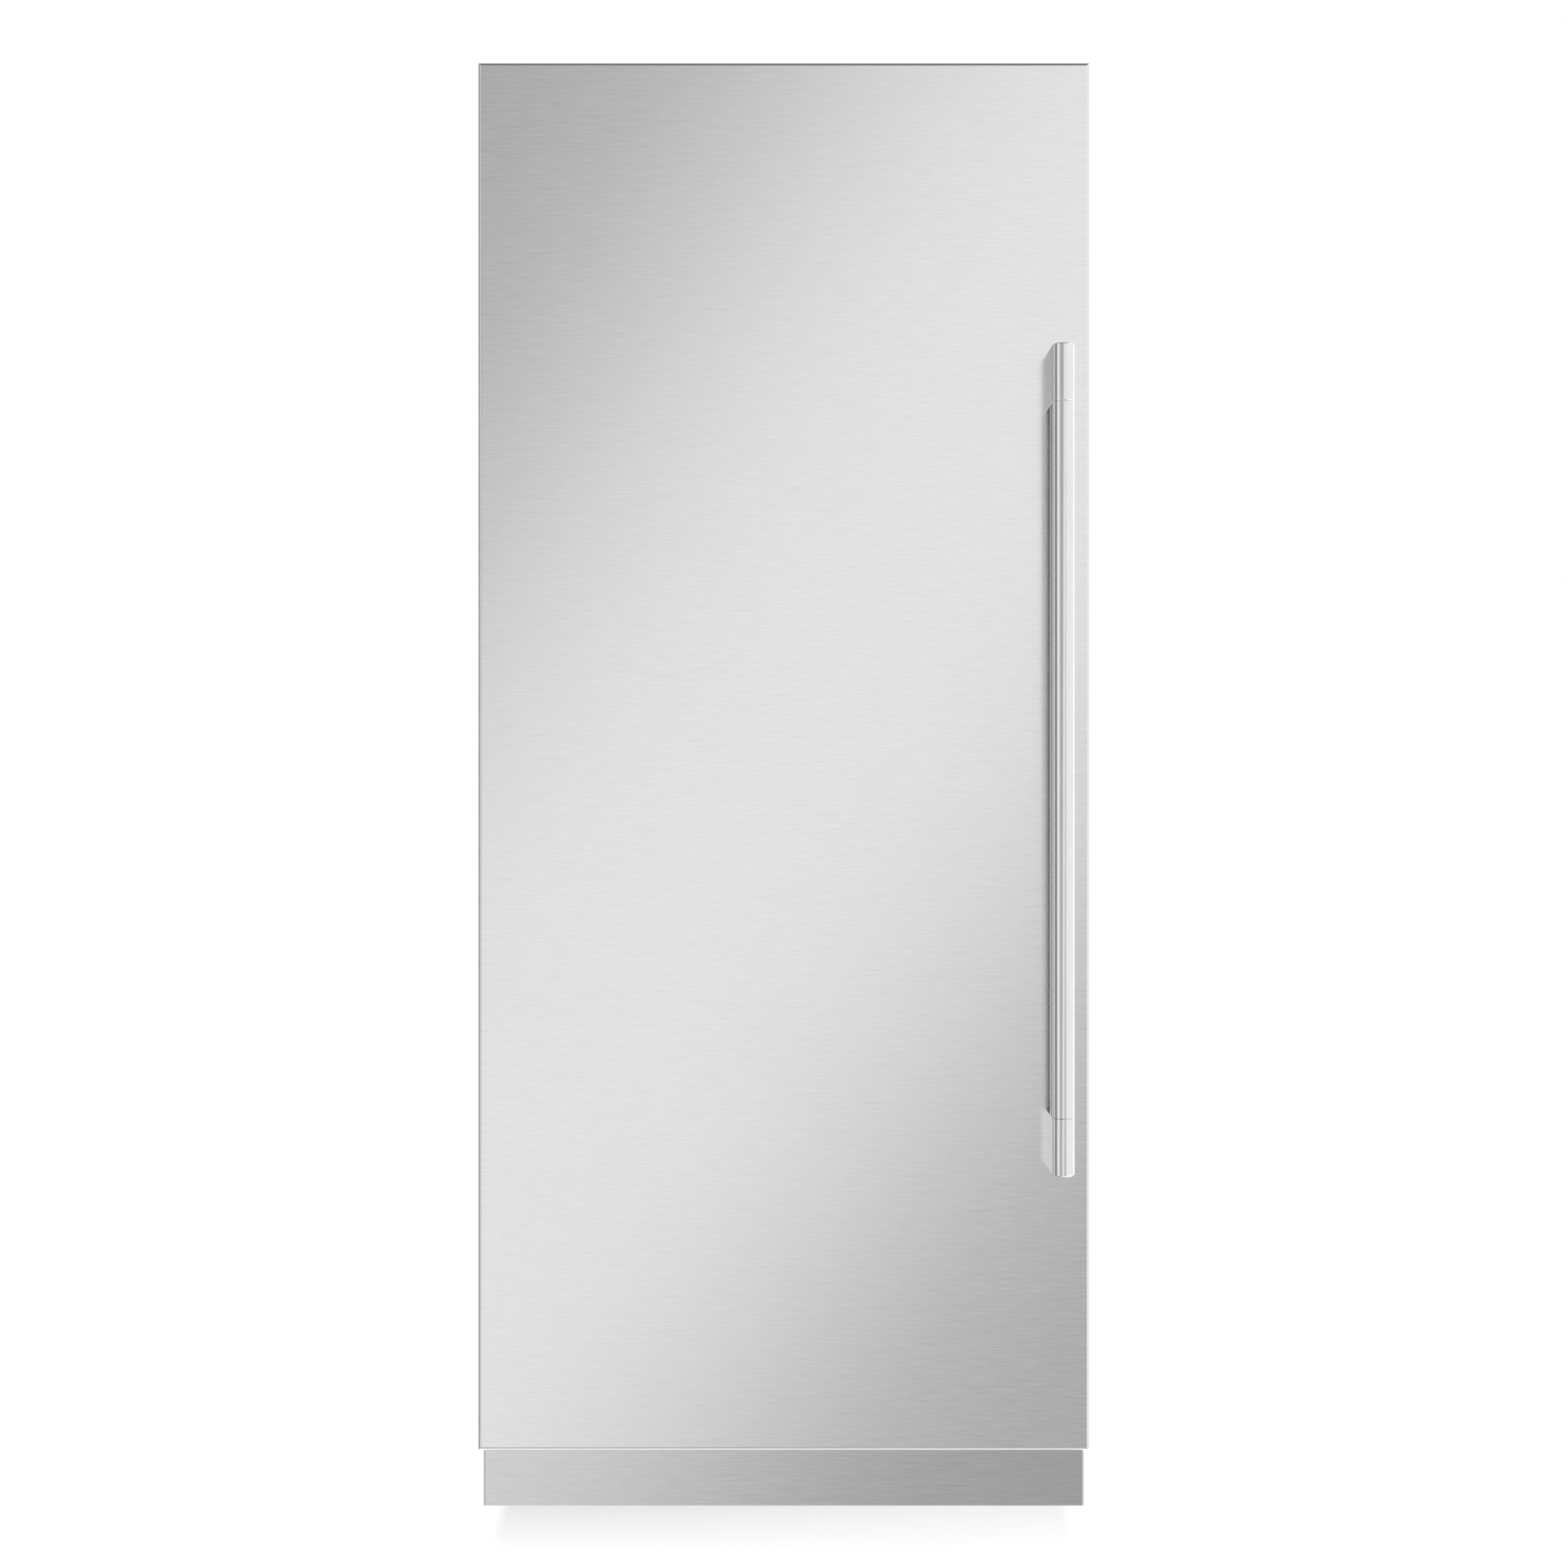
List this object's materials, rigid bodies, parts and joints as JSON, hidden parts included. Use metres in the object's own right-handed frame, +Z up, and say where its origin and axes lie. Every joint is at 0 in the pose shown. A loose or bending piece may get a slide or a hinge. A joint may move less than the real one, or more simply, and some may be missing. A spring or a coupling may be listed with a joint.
{
  "type": "integrated column freezer",
  "caption": "Tall flush-fit column freezer: insulated cabinet, hinged panelled door with bar handle, drawers, shelves, ice maker and a rear compressor bay.",
  "frame": {"origin": "on the floor, in the middle of the appliance's width and of its depth over the handle", "axes": "+Z up, -Y out of the front, +X towards the handle side"},
  "size_m": [0.902, 0.705, 2.147],
  "materials": {
    "stainless_brushed": "brushed, horizontal grain",
    "case_grey": "satin powder coat",
    "frame_zinc": "zinc plated",
    "pin_steel": "ground",
    "insulating_foam": "rigid closed-cell foam",
    "backing_board": "composite board",
    "liner_white": "moulded, satin",
    "gasket_grey": "soft vinyl",
    "clear_plastic": "clear, slightly frosted",
    "shelf_metal": "satin anodised",
    "shelf_glass": "tempered glass",
    "fascia_black": "gloss black",
    "button_silver": "satin silver",
    "lamp_lens": "opal",
    "ice_mould_metal": "cast, coated",
    "ice_white": "moulded",
    "fin_aluminium": "mill finish",
    "coil_black": "satin black",
    "fan_black": "moulded",
    "motor_grey": "satin",
    "mount_rubber": "matte",
    "line_copper": "drawn copper",
    "valve_white": "moulded"
  },
  "bodies": {
    "cabinet": {"foam_insulation": "insulating_foam", "inner_liner": "liner_white", "outer_case": "case_grey", "back_panel": "case_grey", "base_frame": "frame_zinc", "compressor_tray": "frame_zinc", "toe_kick": "stainless_brushed", "hinge_arm_top": "frame_zinc", "hinge_arm_bottom": "frame_zinc", "hinge_pins": "pin_steel", "slide_rails": "frame_zinc", "shelf_ladders": "shelf_metal", "shelf_frames": "shelf_metal", "shelf_glass": "shelf_glass", "control_panel": "fascia_black", "light_bars": "lamp_lens", "ice_maker": "ice_mould_metal", "evaporator": "fin_aluminium", "evaporator_cover": "liner_white", "evaporator_fan_motor": "motor_grey", "compressor": "coil_black", "compressor_mounts": "mount_rubber", "condenser": "coil_black", "condenser_fan_shroud": "fan_black", "condenser_fan_motor": "motor_grey", "refrigerant_lines": "line_copper", "drain_pan": "fan_black", "rear_cover": "case_grey", "power_inlet": "fan_black", "water_valve": "valve_white", "top_cover": "case_grey", "control_box": "valve_white", "anti_tip_brackets": "frame_zinc"},
    "door": {"door_panel": "stainless_brushed", "panel_backer": "backing_board", "door_foam": "insulating_foam", "door_liner": "liner_white", "door_gasket": "gasket_grey", "door_handle": "stainless_brushed", "hinge_bushes": "liner_white", "door_bin_1": "clear_plastic", "door_bin_2": "clear_plastic", "door_bin_3": "clear_plastic"},
    "lower_drawer": {"drawer_1": "clear_plastic"},
    "middle_slides": {"slide_members_2": "frame_zinc"},
    "middle_drawer": {"drawer_2": "clear_plastic"},
    "upper_slides": {"slide_members_3": "frame_zinc"},
    "upper_drawer": {"drawer_3": "clear_plastic"},
    "ice_bin": {"ice_bin": "clear_plastic"},
    "ejector": {"ice_ejector": "ice_white"},
    "shut_off_arm": {"shut_off_arm": "pin_steel"},
    "cold_fan": {"evaporator_fan": "fan_black"},
    "warm_fan": {"condenser_fan": "fan_black"},
    "colder_button": {"button_colder": "button_silver"},
    "warmer_button": {"button_warmer": "button_silver"},
    "power_button": {"button_power": "button_silver"},
    "left_foot": {"levelling_foot_left": "frame_zinc"},
    "right_foot": {"levelling_foot_right": "frame_zinc"},
    "left_roller": {"roller_left": "fan_black"},
    "right_roller": {"roller_right": "fan_black"}
  },
  "joints": [
    {"name": "door_swing", "type": "hinge", "parent": "cabinet", "child": "door", "pos_m": [-0.437, -0.242, 1.1], "axis": [0, 0, -1], "range_deg": [0, 115]},
    {"name": "lower_drawer_slide", "type": "slide", "parent": "cabinet", "child": "lower_drawer", "axis": [0, -1, 0], "range_m": [0, 0.14]},
    {"name": "middle_slides_slide", "type": "slide", "parent": "cabinet", "child": "middle_slides", "axis": [0, -1, 0], "range_m": [0, 0.13]},
    {"name": "middle_drawer_slide", "type": "slide", "parent": "middle_slides", "child": "middle_drawer", "axis": [0, -1, 0], "range_m": [0, 0.13]},
    {"name": "upper_slides_slide", "type": "slide", "parent": "cabinet", "child": "upper_slides", "axis": [0, -1, 0], "range_m": [0, 0.13]},
    {"name": "upper_drawer_slide", "type": "slide", "parent": "upper_slides", "child": "upper_drawer", "axis": [0, -1, 0], "range_m": [0, 0.13]},
    {"name": "ice_bin_slide", "type": "slide", "parent": "cabinet", "child": "ice_bin", "axis": [0, -1, 0], "range_m": [0, 0.15]},
    {"name": "ejector_turn", "type": "hinge", "parent": "cabinet", "child": "ejector", "pos_m": [-0.32, 0.08, 1.915], "axis": [0, 1, 0], "continuous": true},
    {"name": "shut_off_arm_lift", "type": "hinge", "parent": "cabinet", "child": "shut_off_arm", "pos_m": [-0.277, 0.08, 1.89], "axis": [0, -1, 0], "range_deg": [0, 35]},
    {"name": "cold_fan_spin", "type": "hinge", "parent": "cabinet", "child": "cold_fan", "pos_m": [0, 0.24, 0.905], "axis": [0, 1, 0], "continuous": true},
    {"name": "warm_fan_spin", "type": "hinge", "parent": "cabinet", "child": "warm_fan", "pos_m": [-0.15, 0.2455, 0.1855], "axis": [1, 0, 0], "continuous": true},
    {"name": "left_foot_height", "type": "slide", "parent": "cabinet", "child": "left_foot", "axis": [0, 0, -1], "range_m": [0, 0.03]},
    {"name": "right_foot_height", "type": "slide", "parent": "cabinet", "child": "right_foot", "axis": [0, 0, -1], "range_m": [0, 0.03]},
    {"name": "left_roller_turn", "type": "hinge", "parent": "cabinet", "child": "left_roller", "pos_m": [-0.394, 0.295, 0.022], "axis": [1, 0, 0], "continuous": true},
    {"name": "right_roller_turn", "type": "hinge", "parent": "cabinet", "child": "right_roller", "pos_m": [0.394, 0.295, 0.022], "axis": [1, 0, 0], "continuous": true},
    {"name": "colder_button_press", "type": "slide", "parent": "cabinet", "child": "colder_button", "axis": [0, 1, 0], "range_m": [0, 0.001], "stiffness_N_per_m": 300, "springref_m": -0.0005},
    {"name": "warmer_button_press", "type": "slide", "parent": "cabinet", "child": "warmer_button", "axis": [0, 1, 0], "range_m": [0, 0.001], "stiffness_N_per_m": 300, "springref_m": -0.0005},
    {"name": "power_button_press", "type": "slide", "parent": "cabinet", "child": "power_button", "axis": [0, 1, 0], "range_m": [0, 0.001], "stiffness_N_per_m": 300, "springref_m": -0.0005}
  ],
  "couplings": [
    {"joint": "lower_drawer_slide", "follows": "door_swing", "m_per_rad": 0.0697},
    {"joint": "middle_slides_slide", "follows": "door_swing", "m_per_rad": 0.0647},
    {"joint": "middle_drawer_slide", "follows": "door_swing", "m_per_rad": 0.0647},
    {"joint": "upper_slides_slide", "follows": "door_swing", "m_per_rad": 0.0647},
    {"joint": "upper_drawer_slide", "follows": "door_swing", "m_per_rad": 0.0647},
    {"joint": "ice_bin_slide", "follows": "door_swing", "m_per_rad": 0.0747}
  ]
}
